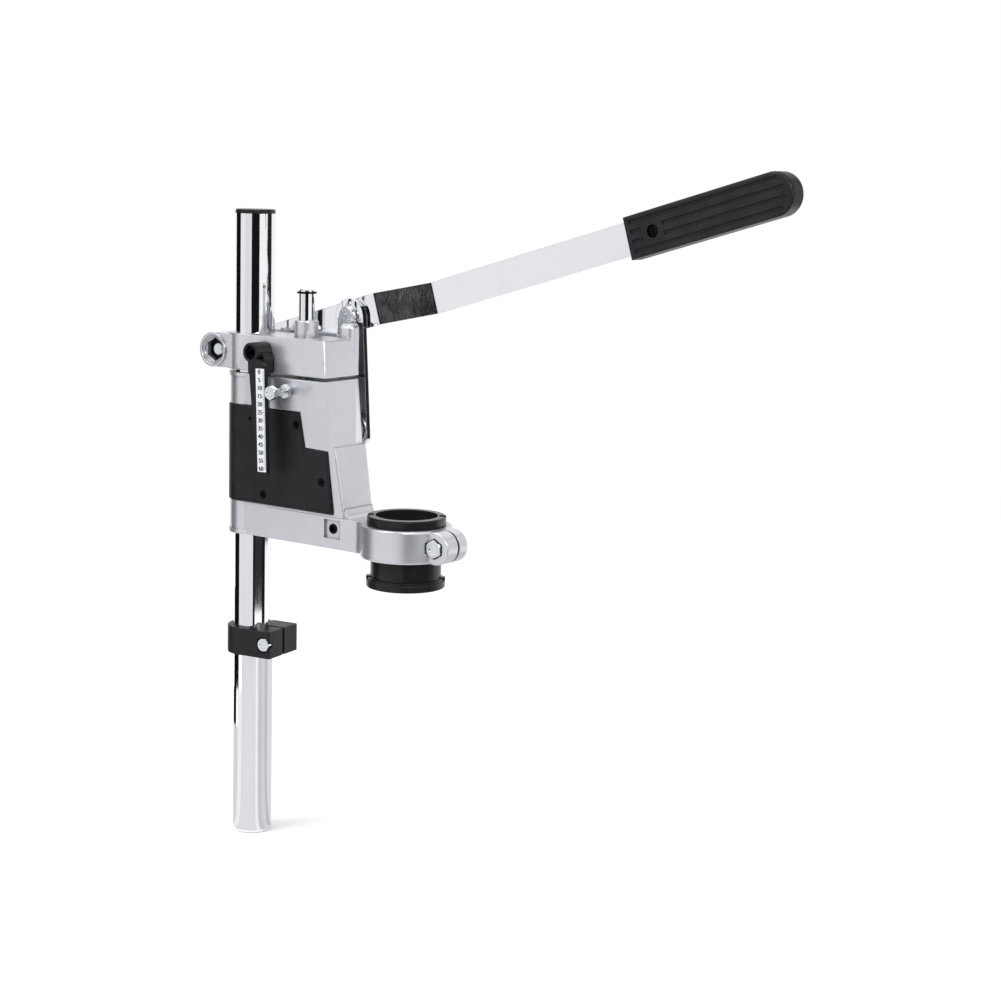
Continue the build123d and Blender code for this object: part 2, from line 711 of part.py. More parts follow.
def lever_bar():
    near, far = lever_near, lever_far
    step = joggle_offset
    turn = math.atan2(step, joggle_end - joggle_start) / 2
    shift = lever_thickness * math.tan(turn)
    start, end, tip = joggle_start, joggle_end, lever_tip
    path = [
        (-lever_width / 2, near), (start, near), (end, near + step), (tip, near + step),
        (tip, far + step), (end - shift, far + step), (start - shift, far), (-lever_width / 2, far),
    ]
    face = make_face(Polyline(*[(x, y, -lever_width / 2) for x, y in path], close=True).edges())
    bar = extrude(face, amount=lever_width, dir=(0, 0, 1))
    half = lever_width / 2
    keep = block(0, tip, -5, 80, -half, half) + rod_y(half, -5, 80, 0, 0)
    bar = bar & keep
    bends = [e for e in bar.edges().filter_by(Axis.Z)
             if abs(e.center().X - start) < shift + 1 or abs(e.center().X - end) < shift + 1]
    bar = soften(bar, bends, 2.0)
    bar -= rod_y(6.0 + hinge_gap, -5, 80, 0, 0)
    slot_half = link_pin / 2 + slot_clearance
    for x in (link_top_distance, link_top_distance - slot_travel):
        bar -= rod_y(slot_half, -5, 80, x, 0)
    bar -= block(link_top_distance - slot_travel, link_top_distance, -5, 80, -slot_half, slot_half)
    bar -= rod_y(grip_screw / 2 + bolt_gap, -5, 90, grip_start + grip_screw_from_start, 0)
    return single(lever_frame(bar))


grip_middle = lever_near + joggle_offset + lever_thickness / 2
groove_offsets = [-8.6, -2.9, 2.9, 8.6]
groove_width = 2.3
groove_depth = 0.9


def grip_body(near, far):
    half = grip_width / 2
    body = block(grip_start, grip_end - half, near, far, -half, half)
    return body + rod_y(half, near, far, grip_end - half, 0)


def grip_half(side):
    """side -1 is the half towards the scale, +1 the half away from it."""
    near, far = sorted((grip_middle, grip_middle + side * grip_thickness / 2))
    outer = grip_middle + side * grip_thickness / 2
    half_body = grip_body(near, far)
    rim = [e for e in half_body.edges() if abs(e.center().Y - outer) < 0.01]
    half_body = half_body.fillet(1.6, rim)
    bar_half = lever_width / 2 + 0.1
    cut_low, cut_high = grip_middle - lever_thickness / 2, grip_middle + lever_thickness / 2
    half_body -= block(grip_start - 5, lever_tip + 0.5, cut_low, cut_high, -bar_half, bar_half)
    screw_at = grip_start + grip_screw_from_start
    low, high = sorted((outer - side * groove_depth, outer + side * 2))
    for offset in groove_offsets:
        reach = math.sqrt((grip_width / 2) ** 2 - offset ** 2) - 5.0
        first, last = grip_start + 3.6, grip_end - grip_width / 2 + reach
        stretches = [(first, last)]
        if abs(offset) < 5:
            stretches = [(first, screw_at - 7.1), (screw_at + 7.1, last)]
        for start, end in stretches:
            half_body -= block(start, end, low, high, offset - groove_width / 2, offset + groove_width / 2)
    low, high = sorted((outer - side * 3.2, outer + side * 2))
    half_body -= rod_y(3.8 if side < 0 else 4.2, low, high, screw_at, 0)
    half_body -= rod_y(grip_screw / 2 + bolt_gap, near - 2, far + 2, screw_at, 0)
    return single(lever_frame(half_body))


def grip_screw_parts():
    screw_at = grip_start + grip_screw_from_start
    near = grip_middle - grip_thickness / 2 + 3.2
    far = grip_middle + grip_thickness / 2 - 3.2
    head = rod_y(3.5, near - 2.4, near, screw_at, 0)
    rim = [e for e in head.edges().filter_by(GeomType.CIRCLE) if e.center().Y < near - 1]
    head = head.fillet(1.0, rim)
    head -= block(screw_at - 2.0, screw_at + 2.0, near - 3, near - 1.3, -0.4, 0.4)
    head -= block(screw_at - 0.4, screw_at + 0.4, near - 3, near - 1.3, -2.0, 2.0)
    screw = head + rod_y(grip_screw / 2, near - 0.01, far + 2.8, screw_at, 0)
    nut = hex_nut_y(grip_screw, 6.9, far, far + 2.6, screw_at, 0)
    return {"grip_screw": lever_frame(screw), "grip_nut": lever_frame(nut)}


# ---- depth stop
def turned(shape):
    return Rot(0, 0, stop_turn) * shape


def stop_collar():
    low, high = stop_bottom, stop_bottom + stop_height
    body = rod_z(stop_rear_radius, low, high)
    body += block(0, stop_front, -stop_half, stop_half, low, high)
    upright = [e for e in body.edges().filter_by(Axis.Z) if e.center().X > stop_front - 1]
    body = body.fillet(0.8, upright)
    rims = [e for e in body.edges() if abs(e.center().Z - high) < 0.01]
    body = soften(body, rims, 0.5)
    body -= rod_z(column_diameter / 2 + clamp_gap, low - 5, high + 5)
    body -= block(0, stop_front + 5, -stop_slit / 2, stop_slit / 2, low - 5, high + 5)
    middle = low + stop_height / 2
    body -= rod_y(stop_bolt / 2 + bolt_gap, -30, 30, stop_bolt_x, middle)
    body -= rod_y(5.1, -stop_half - 1, -stop_half + 3.4, stop_bolt_x, middle)
    body -= prism_y(6, 8.3, stop_half - 3.2, stop_half + 1, stop_bolt_x, middle)
    return single(turned(body))


def stop_bolt_parts():
    middle = stop_bottom + stop_height / 2
    head_at = -stop_half + 3.4
    nut_near = stop_half - 3.2
    bolt = hex_bolt_y(stop_bolt, 8.0, 3.5, head_at, nut_near + 5.0, stop_bolt_x, middle)
    nut = hex_nut_y(stop_bolt, 8.0, nut_near, nut_near + 4.0, stop_bolt_x, middle)
    return {"stop_bolt": turned(bolt), "stop_nut": turned(nut)}


# ---- write one file for each piece
parts = {
    "column_tube": column_tube(),
    "column_cap": column_cap(),
    "head_casting": head_casting(),
    "guide_rod": guide_rod(),
    "rod_ring_lower": retaining_ring(ring_z[0]),
    "rod_ring_upper": retaining_ring(ring_z[1]),
    "spring_seat": spring_seat(),
    "return_spring": return_spring(),
    "carriage_casting": carriage_casting(),
    "column_bush_lower": column_bush(bush_floors()[0]),
    "column_bush_upper": column_bush(bush_floors()[1]),
    "rod_bush": rod_bush(),
    "side_cover": side_cover(),
    "cover_screws": Compound(children=[cover_screw(x, z) for x, z in screw_places]),
    "drill_adapter": drill_adapter(),
    "arm_set_screw": arm_set_screw(),
    "scale_bracket": scale_bracket(),
    "scale_label": scale_label(),
    "scale_screw": scale_screw(),
    "link_plate": link_plate(),
    "lever_bar": lever_bar(),
    "grip_near_half": grip_half(-1),
    "grip_far_half": grip_half(1),
    "stop_collar": stop_collar(),
}
for group in (lever_pivot_parts(), collar_bolt_parts(), pointer_parts(), link_parts(),
              grip_screw_parts(), stop_bolt_parts()):
    parts.update(group)

os.makedirs("parts", exist_ok=True)
for name, shape in parts.items():
    export_step(shape, "parts/" + name + ".step")
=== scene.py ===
"""Looks for the bench drill stand: finishes, fine pieces, studio and camera."""

import json
import math

import bmesh
import bpy
from bpy.props import FloatProperty, FloatVectorProperty, IntProperty, PointerProperty
from mathutils import Matrix, Vector


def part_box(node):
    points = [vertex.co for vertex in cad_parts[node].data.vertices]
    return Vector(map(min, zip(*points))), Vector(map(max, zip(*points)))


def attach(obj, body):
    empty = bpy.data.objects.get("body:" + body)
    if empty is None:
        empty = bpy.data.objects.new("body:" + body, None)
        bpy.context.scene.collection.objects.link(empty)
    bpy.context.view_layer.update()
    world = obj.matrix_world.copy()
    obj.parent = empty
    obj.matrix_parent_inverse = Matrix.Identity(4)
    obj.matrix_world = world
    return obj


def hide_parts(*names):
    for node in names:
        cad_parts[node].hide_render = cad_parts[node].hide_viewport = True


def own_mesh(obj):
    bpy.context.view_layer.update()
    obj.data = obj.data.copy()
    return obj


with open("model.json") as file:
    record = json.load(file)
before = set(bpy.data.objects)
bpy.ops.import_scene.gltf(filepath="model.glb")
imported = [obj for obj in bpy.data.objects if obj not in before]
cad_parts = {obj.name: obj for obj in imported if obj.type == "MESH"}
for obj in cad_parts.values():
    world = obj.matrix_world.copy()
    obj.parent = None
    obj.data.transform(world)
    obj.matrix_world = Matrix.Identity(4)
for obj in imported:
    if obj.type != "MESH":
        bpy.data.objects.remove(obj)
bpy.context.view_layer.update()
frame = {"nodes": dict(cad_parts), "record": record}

bl_info = {
    "name": "Bench drill stand looks",
    "version": (1, 0, 0),
    "blender": (4, 5, 0),
    "location": "View3D > Sidebar > Drill stand",
    "description": "Finishes, fine pieces and a studio for the bench drill stand",
    "category": "Object",
}

MM = 0.001

# relief of the finishes
PLATING_RELIEF = 0.000004
METAL_RELIEF = 0.00001
PAINT_RELIEF = 0.00002
GRAINED_RELIEF = 0.00002
SMOOTH_RELIEF = 0.000012
# radius by which the shading rounds sharp edges
METAL_EDGE = 0.0003
PLASTIC_EDGE = 0.0004
PAINT_EDGE = 0.0009
# how near another face has to be for the painted shade to darken a gap
PAINT_SHADE_REACH = 0.005
PLASTIC_SHADE_REACH = 0.003
SHADING_SAMPLES = 6
# finishes that have no setting for their roughness
LABEL_ROUGHNESS = 0.35
INK_ROUGHNESS = 0.4
STEEL_ROUGHNESS = 0.32
SPRING_ROUGHNESS = 0.3
BRONZE_ROUGHNESS = 0.38
# polishing lines run up the plated parts
POLISH_STRETCH = (1.0, 1.0, 0.08)

STEPS_PER_TURN = 40
WIRE_SIDES = 12
BEAD_RESOLUTION = 3
CORNER_STEPS = 6

# font size and room above the first number, both as shares of the number height
FONT_SIZE = 1.38
TOP_ROOM = 0.62
# how far the print, and each shifted copy of a number, stands off the strip
PRINT_LIFT = 0.00003
COPY_LIFT = 4e-6

FLOOR_RINGS = 48
FLOOR_SIDES = 96
FLOOR_DROP = 0.0004
# flat part of the floor as a share of its radius, and the curve of its rim
FLOOR_FLAT = 0.7
FLOOR_CURVE = 0.5
# where the floor starts to fade, and where it is gone, as shares of its radius
FADE_START = 0.15
FADE_END = 0.6

# how far the small lights and the upright cards stand from the column
LIGHT_DISTANCE = 0.7
CARD_DISTANCE = 0.75
CARD_TOP = 1.6
# the chrome's stripes change here, behind the stop collar at rest
CARD_SPLIT = 0.155
CARD_SEGMENTS = 24
# the flat cards lie just above the floor, round the column's foot
FLOOR_CARD_LIFT = 0.001
FLOOR_CARD_INNER = 0.013
FLOOR_CARD_OUTER = 0.52

SENSOR_WIDTH = 36.0
NEAR_CLIP = 0.01


def colour(name, default, description):
    """A colour setting."""
    return FloatVectorProperty(name=name, description=description, subtype="COLOR",
                               size=3, min=0.0, max=1.0, default=default)


def factor(name, default, description):
    """A setting from 0 to 1."""
    return FloatProperty(name=name, description=description, subtype="FACTOR",
                         min=0.0, max=1.0, default=default)


def length(name, default, description):
    """A length setting, in metres."""
    return FloatProperty(name=name, description=description, unit="LENGTH",
                         subtype="DISTANCE", default=default)


def angle(name, degrees, description):
    """An angle setting, given in degrees."""
    return FloatProperty(name=name, description=description, subtype="ANGLE",
                         default=math.radians(degrees))


# ---------------------------------------------------------------- settings

class FinishSettings(bpy.types.PropertyGroup):
    """Colours and roughness of the finishes"""
    chrome: colour("Chrome", (0.90, 0.905, 0.93), "Tint of the plated column, rod, lever and link")
    chrome_roughness: factor("Chrome roughness", 0.055, "Blur of the plating's reflections")
    paint: colour("Silver paint", (0.64, 0.65, 0.682), "Satin silver paint of the castings")
    paint_roughness: factor("Paint roughness", 0.31, "Blur of the paint's reflections")
    zinc: colour("Zinc", (0.80, 0.81, 0.83), "Bright zinc of the screws and nuts")
    zinc_roughness: factor("Zinc roughness", 0.2, "Blur of the zinc's reflections")
    plastic: colour("Black plastic", (0.0085, 0.0082, 0.0095), "Moulded black plastic")
    plastic_roughness: factor("Plastic roughness", 0.38,
                              "Blur of the grained plastic's reflections")
    gloss_roughness: factor("Smooth plastic roughness", 0.24,
                            "Blur of the smooth plastic's reflections")
    steel: colour("Black steel", (0.009, 0.009, 0.010), "Blackened screws and rings")
    spring: colour("Spring steel", (0.30, 0.31, 0.33), "Drawn spring wire")
    bronze: colour("Bearing bronze", (0.42, 0.26, 0.11), "Sintered bushes")
    label: colour("Label", (0.64, 0.66, 0.69), "Ground of the scale strip")
    ink: colour("Ink", (0.01, 0.01, 0.012), "Printing of the scale strip")


class ScaleSettings(bpy.types.PropertyGroup):
    """The printed depth scale"""
    travel: IntProperty(name="Range", description="Last number of the scale, in millimetres",
                        default=60, min=10)
    step: IntProperty(name="Step", description="Millimetres between two numbers", default=5, min=1)
    text_height: length("Number height", 2.85 * MM, "Height of the printed numbers")
    text_bold: length("Number weight", 0.19 * MM, "Thickening of the strokes")
    text_middle: length("Number place", 2.95 * MM,
                        "From the strip's left edge to the middle of its numbers")
    tick_short: length("Short tick", 1.0 * MM, "Length of a millimetre tick")
    tick_long: length("Long tick", 1.7 * MM, "Length of a tick at a number")
    tick_width: length("Tick width", 0.24 * MM, "Width of each tick")
    tilt: angle("Tilt", 2.0, "Lean of the scale bar from upright")
    margin: length("Top margin", 1.85 * MM, "From the strip's top end to its zero mark")


class SpringSettings(bpy.types.PropertyGroup):
    """The return spring"""
    wire: length("Wire", 1.6 * MM, "Diameter of the spring wire")
    turns: FloatProperty(name="Turns", description="Number of turns", default=11.0, min=2.0)


class BeadSettings(bpy.types.PropertyGroup):
    """The moulded lines on the cover and the arm"""
    cover_radius: length("Border radius", 0.45 * MM, "Radius of the cover's border bead")
    cover_proud: length("Border height", 0.35 * MM, "How far the border stands out of the cover")
    arm_face: length("Arm face", -15.4 * MM, "Place of the head arm's near face")
    arm_radius: length("Line radius", 0.3 * MM, "Radius of the parting line's bead")
    arm_proud: length("Line height", 0.2 * MM, "How far the parting line stands out of the arm")
    corner: length("Corner", 1.6 * MM, "How far the corners are rounded")


class StudioSettings(bpy.types.PropertyGroup):
    """Camera, lights and floor"""
    camera_place: FloatVectorProperty(name="Camera place",
                                      description="Camera position in the row frame",
                                      subtype="TRANSLATION", unit="LENGTH", size=3,
                                      default=(0.8797, -0.9519, 0.4388))
    azimuth: angle("Azimuth", 35.837, "Viewing direction, from +Y towards -X")
    pitch: angle("Pitch", 8.671, "How far the camera looks down")
    roll: angle("Roll", 1.376, "Turn of the camera about its own axis")
    lens: FloatProperty(name="Lens", description="Focal length in millimetres", default=73.26)
    shift: FloatVectorProperty(name="Shift", description="Lens shift", size=2,
                               default=(0.0025, -0.0335))
    sky: FloatProperty(name="Sky", description="Brightness of the white surroundings", default=1.0)
    key: FloatProperty(name="Key light", description="Power of the large soft light, in watts",
                       default=40.0)
    fill: FloatProperty(name="Side light",
                        description="Power of the soft light on the right, in watts", default=8.0)
    edge: FloatProperty(name="Edge light",
                        description="Power of the small light for edges, in watts", default=2.2)
    front: FloatProperty(name="Front light",
                         description="Power of the light for the fronts, in watts", default=0.75)
    floor: colour("Floor", (0.93, 0.93, 0.935), "Plain pale floor")
    floor_radius: length("Floor radius", 3.0, "Radius of the floor")


# ---------------------------------------------------------------- materials

class Nodes:
    """A material's node tree, with short calls for the nodes used here."""

    def __init__(self, name):
        self.material = bpy.data.materials.new(name)
        self.material.use_nodes = True
        self.tree = self.material.node_tree
        self.tree.nodes.clear()
        self.shader = self.tree.nodes.new("ShaderNodeBsdfPrincipled")
        self.output = self.tree.nodes.new("ShaderNodeOutputMaterial")
        self.link(self.shader.outputs["BSDF"], self.output.inputs["Surface"])
        self.place = self.tree.nodes.new("ShaderNodeTexCoord").outputs["Object"]

    def link(self, source, target):
        """Join an output to an input."""
        self.tree.links.new(source, target)

    def base(self, source):
        """Drive the shader's colour."""
        self.link(source, self.shader.inputs["Base Color"])

    def blur(self, source):
        """Drive the shader's roughness."""
        self.link(source, self.shader.inputs["Roughness"])

    def stretched(self, scale):
        """Object coordinates, scaled along each axis."""
        node = self.tree.nodes.new("ShaderNodeMapping")
        node.inputs["Scale"].default_value = scale
        self.link(self.place, node.inputs["Vector"])
        return node.outputs["Vector"]

    def noise(self, scale, detail=3.0, roughness=0.55, place=None):
        """Soft noise, about 0.3 to 0.7."""
        node = self.tree.nodes.new("ShaderNodeTexNoise")
        node.inputs["Scale"].default_value = scale
        node.inputs["Detail"].default_value = detail
        node.inputs["Roughness"].default_value = roughness
        self.link(place or self.place, node.inputs["Vector"])
        return node.outputs["Fac"]

    def cells(self, scale):
        """Pebbled cells: the distance to the nearest cell's middle."""
        node = self.tree.nodes.new("ShaderNodeTexVoronoi")
        node.inputs["Scale"].default_value = scale
        self.link(self.place, node.inputs["Vector"])
        return node.outputs["Distance"]

    def spread(self, value, low, high, start=0.3, end=0.7):
        """Map a value from start..end to low..high."""
        node = self.tree.nodes.new("ShaderNodeMapRange")
        for socket, number in (("From Min", start), ("From Max", end),
                               ("To Min", low), ("To Max", high)):
            node.inputs[socket].default_value = number
        self.link(value, node.inputs["Value"])
        return node.outputs["Result"]

    def blend(self, value, first, second):
        """Blend two colours, or a colour and another blend, by a value."""
        node = self.tree.nodes.new("ShaderNodeMix")
        node.data_type = "RGBA"
        for socket, part in ((node.inputs[6], first), (node.inputs[7], second)):
            if isinstance(part, bpy.types.NodeSocket):
                self.link(part, socket)
            else:
                socket.default_value = (*part, 1.0)
        self.link(value, node.inputs[0])
        return node.outputs[2]

    def openness(self, distance):
        """Mask for painted shade: 0 deep in a gap or groove, 1 on an open face."""
        node = self.tree.nodes.new("ShaderNodeAmbientOcclusion")
        node.samples = SHADING_SAMPLES
        node.inputs["Distance"].default_value = distance
        return self.spread(node.outputs["AO"], 0.0, 1.0, start=0.15, end=0.85)

    def add(self, first, second, operation="ADD"):
        """Two values added, or joined by another operation."""
        node = self.tree.nodes.new("ShaderNodeMath")
        node.operation = operation
        self.link(first, node.inputs[0])
        self.link(second, node.inputs[1])
        return node.outputs[0]

    def bump(self, height, distance, strength, edge):
        """Fine relief, over edges rounded by the given radius."""
        node = self.tree.nodes.new("ShaderNodeBump")
        node.inputs["Distance"].default_value = distance
        node.inputs["Strength"].default_value = strength
        self.link(height, node.inputs["Height"])
        rounded = self.tree.nodes.new("ShaderNodeBevel")
        rounded.samples = SHADING_SAMPLES
        rounded.inputs["Radius"].default_value = edge
        self.link(rounded.outputs["Normal"], node.inputs["Normal"])
        self.link(node.outputs["Normal"], self.shader.inputs["Normal"])

    def set(self, **numbers):
        """Set the shader's inputs by name, with _ for each space."""
        for name, value in numbers.items():
            self.shader.inputs[name.replace("_", " ")].default_value = value


def shade(base, amount):
    """A colour made lighter or darker by a share."""
    return tuple(max(0.0, min(1.0, part * amount)) for part in base)


def chrome_finish(name, tint, roughness):
    """Bright plating: clear reflections, faint polishing lines and haze."""
    m = Nodes(name)
    lines = m.noise(scale=900.0, detail=2.0, roughness=0.6, place=m.stretched(POLISH_STRETCH))
    haze = m.noise(scale=55.0, detail=4.0, roughness=0.6)
    m.base(m.blend(m.spread(haze, 0.0, 1.0), shade(tint, 0.965), tint))
    m.blur(m.spread(m.add(lines, haze, "MULTIPLY"), roughness * 0.6, roughness * 1.7,
                    start=0.12, end=0.42))
    m.bump(lines, PLATING_RELIEF, strength=0.35, edge=METAL_EDGE)
    m.set(Metallic=1.0)
    return m.material


def paint_finish(name, tint, roughness):
    """Satin silver paint over a die casting: fine flake and soft orange peel."""
    m = Nodes(name)
    flake = m.noise(scale=2600.0, detail=2.0, roughness=0.7)
    cloud = m.noise(scale=38.0, detail=4.0, roughness=0.55)
    peel = m.noise(scale=620.0, detail=3.0, roughness=0.5)
    mixed = m.add(m.spread(flake, 0.0, 0.55), m.spread(cloud, 0.0, 0.45))
    body = m.blend(mixed, shade(tint, 0.93), shade(tint, 1.07))
    # painted shade: the paint's colour turns dark in gaps and grooves, where shade falls
    m.base(m.blend(m.openness(PAINT_SHADE_REACH), shade(tint, 0.16), body))
    m.blur(m.spread(mixed, roughness * 0.82, roughness * 1.22, start=0.0, end=1.0))
    m.bump(m.add(peel, flake), PAINT_RELIEF, strength=0.35, edge=PAINT_EDGE)
    m.set(Metallic=0.85, Specular_IOR_Level=0.5, Coat_Weight=0.1, Coat_Roughness=0.15)
    return m.material


def zinc_finish(name, tint, roughness):
    """Bright zinc plate with faint clouding and fine turning marks."""
    m = Nodes(name)
    cloud = m.noise(scale=260.0, detail=4.0, roughness=0.6)
    grain = m.noise(scale=3400.0, detail=2.0, roughness=0.5)
    cool = (tint[0] * 0.93, tint[1] * 0.97, tint[2])
    m.base(m.blend(m.spread(cloud, 0.0, 1.0), cool, tint))
    m.blur(m.spread(cloud, roughness * 0.7, roughness * 1.5))
    m.bump(grain, METAL_RELIEF, strength=0.3, edge=METAL_EDGE)
    m.set(Metallic=1.0)
    return m.material


def plastic_finish(name, tint, roughness, relief):
    """Moulded black plastic: a pebbled grain, and paler rubbed patches."""
    m = Nodes(name)
    pebble = m.cells(scale=1500.0)
    fine = m.noise(scale=2400.0, detail=3.0, roughness=0.6)
    wear = m.noise(scale=75.0, detail=5.0, roughness=0.62)
    body = m.blend(m.spread(wear, 0.0, 1.0, start=0.42, end=0.75), tint, shade(tint, 1.7))
    # painted shade: the plastic's colour turns darker in gaps and grooves, where shade falls
    m.base(m.blend(m.openness(PLASTIC_SHADE_REACH), shade(tint, 0.05), body))
    m.blur(m.spread(wear, roughness * 0.85, roughness * 1.2))
    m.bump(m.add(pebble, fine), relief, strength=0.5, edge=PLASTIC_EDGE)
    m.set(Specular_IOR_Level=0.2)
    return m.material


def steel_finish(name, tint, roughness):
    """Plain metal with faint clouding: blackened steel, spring wire, bronze."""
    m = Nodes(name)
    cloud = m.noise(scale=320.0, detail=4.0, roughness=0.6)
    m.base(m.blend(m.spread(cloud, 0.0, 1.0), shade(tint, 0.75), shade(tint, 1.2)))
    m.blur(m.spread(cloud, roughness * 0.8, roughness * 1.3))
    m.bump(m.noise(scale=2800.0, detail=2.0, roughness=0.5), METAL_RELIEF,
           strength=0.4, edge=METAL_EDGE)
    m.set(Metallic=1.0)
    return m.material


def print_finish(name, tint, roughness):
    """Matt printed strip, or the ink on it."""
    m = Nodes(name)
    fibre = m.noise(scale=900.0, detail=3.0, roughness=0.6)
    m.base(m.blend(m.spread(fibre, 0.0, 1.0), shade(tint, 0.95), tint))
    m.blur(m.spread(fibre, roughness * 0.9, roughness * 1.15))
    return m.material


FINISHES = {}


def finish(slot_name):
    """The material of a slot, or of the ink, made once."""
    if slot_name in FINISHES:
        return FINISHES[slot_name]
    s = bpy.context.scene.stand_finish
    makers = {
        "chrome_plate": (chrome_finish, s.chrome, s.chrome_roughness),
        "silver_casting": (paint_finish, s.paint, s.paint_roughness),
        "zinc_hardware": (zinc_finish, s.zinc, s.zinc_roughness),
        "black_plastic": (plastic_finish, s.plastic, s.plastic_roughness, GRAINED_RELIEF),
        "black_gloss": (plastic_finish, s.plastic, s.gloss_roughness, SMOOTH_RELIEF),
        "label_white": (print_finish, s.label, LABEL_ROUGHNESS),
        "label_ink": (print_finish, s.ink, INK_ROUGHNESS),
        "dark_steel": (steel_finish, s.steel, STEEL_ROUGHNESS),
        "spring_steel": (steel_finish, s.spring, SPRING_ROUGHNESS),
        "bearing_bronze": (steel_finish, s.bronze, BRONZE_ROUGHNESS),
    }
    maker, *values = makers[slot_name]
    FINISHES[slot_name] = maker(slot_name, *values)
    return FINISHES[slot_name]


SLOT_OF = {row["node"]: row["material_slot"] for row in frame["record"]["subparts"]}


def dress(*names):
    """Give CAD nodes the finish of their slot."""
    for name in names:
        node = frame["nodes"][name]
        node.data.materials.clear()
        node.data.materials.append(finish(SLOT_OF[name]))


def in_scene(name, data):
    """A new object in the scene."""
    made = bpy.data.objects.new(name, data)
    bpy.context.scene.collection.objects.link(made)
    return made


def mesh_from(name, shape):
    """Mesh data made from a bmesh, which is freed."""
    data = bpy.data.meshes.new(name)
    shape.to_mesh(data)
    shape.free()
    return data


def add_piece(name, mesh, body, slot_name, material=None):
    """A visible piece that rides a body, in the finish of a slot or in the material given."""
    piece = in_scene(name, mesh)
    mesh.materials.append(material or finish(slot_name))
    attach(piece, body)
    return piece


# ---------------------------------------------------------------- operators

class STAND_OT_chrome(bpy.types.Operator):
    """Plate the column, guide rod, link and lever"""
    bl_idname = "stand.chrome"
    bl_label = "Chrome parts"

    def execute(self, context):
        dress("column_tube", "guide_rod", "link_plate", "lever_bar")
        return {"FINISHED"}


class STAND_OT_castings(bpy.types.Operator):
    """Paint the head and the carriage"""
    bl_idname = "stand.castings"
    bl_label = "Castings"

    def execute(self, context):
        dress("head_casting", "carriage_casting")
        return {"FINISHED"}


class STAND_OT_plastics(bpy.types.Operator):
    """Mould the cover, caps, bracket, reducing ring and stop collar"""
    bl_idname = "stand.plastics"
    bl_label = "Plastic parts"

    def execute(self, context):
        dress("column_cap", "side_cover", "scale_bracket", "drill_adapter", "stop_collar",
              "grip_near_half", "grip_far_half")
        return {"FINISHED"}


class STAND_OT_hardware(bpy.types.Operator):
    """Finish the screws, nuts, washers, rings and bushes"""
    bl_idname = "stand.hardware"
    bl_label = "Hardware"

    def execute(self, context):
        hardware = ("zinc_hardware", "dark_steel", "bearing_bronze")
        dress(*[name for name, slot_name in SLOT_OF.items() if slot_name in hardware])
        # their slot is zinc_hardware, but the photo shows them black
        for name in ("grip_screw", "grip_nut"):
            frame["nodes"][name].data.materials[0] = finish("dark_steel")
        return {"FINISHED"}


class STAND_OT_spring(bpy.types.Operator):
    """Wind the return spring."""
    bl_idname = "stand.spring"
    bl_label = "Return spring"

    def execute(self, context):
        s = context.scene.stand_spring
        low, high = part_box("return_spring")
        centre = Vector(((low.x + high.x) / 2, (low.y + high.y) / 2, low.z))
        radius = (high.x - low.x - s.wire) / 2
        path_low, path_high = s.wire / 2, high.z - low.z - s.wire / 2
        steps = int(s.turns * STEPS_PER_TURN)
        mesh = bmesh.new()
        rings = []
        for i in range(steps + 1):
            share = i / steps
            turn = 2 * math.pi * s.turns * share
            height = path_low + (path_high - path_low) * share
            out = Vector((math.cos(turn), math.sin(turn), 0.0))
            ring = []
            for k in range(WIRE_SIDES):
                a = 2 * math.pi * k / WIRE_SIDES
                across = radius + s.wire / 2 * math.cos(a)
                along = height + s.wire / 2 * math.sin(a)
                offset = out * across + Vector((0, 0, along))
                ring.append(mesh.verts.new(centre + offset))
            rings.append(ring)
        for first, second in zip(rings, rings[1:]):
            for k in range(WIRE_SIDES):
                mesh.faces.new((first[k], first[k - 1], second[k - 1], second[k]))
        mesh.faces.new(rings[0])
        mesh.faces.new(reversed(rings[-1]))
        bmesh.ops.recalc_face_normals(mesh, faces=mesh.faces)
        data = mesh_from("return_spring_coil", mesh)
        data.shade_smooth()
        coil = add_piece("return_spring_coil", data, "head", "spring_steel")
        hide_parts("return_spring")
        height = high.z - low.z
        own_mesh(coil)
        return {"FINISHED"}


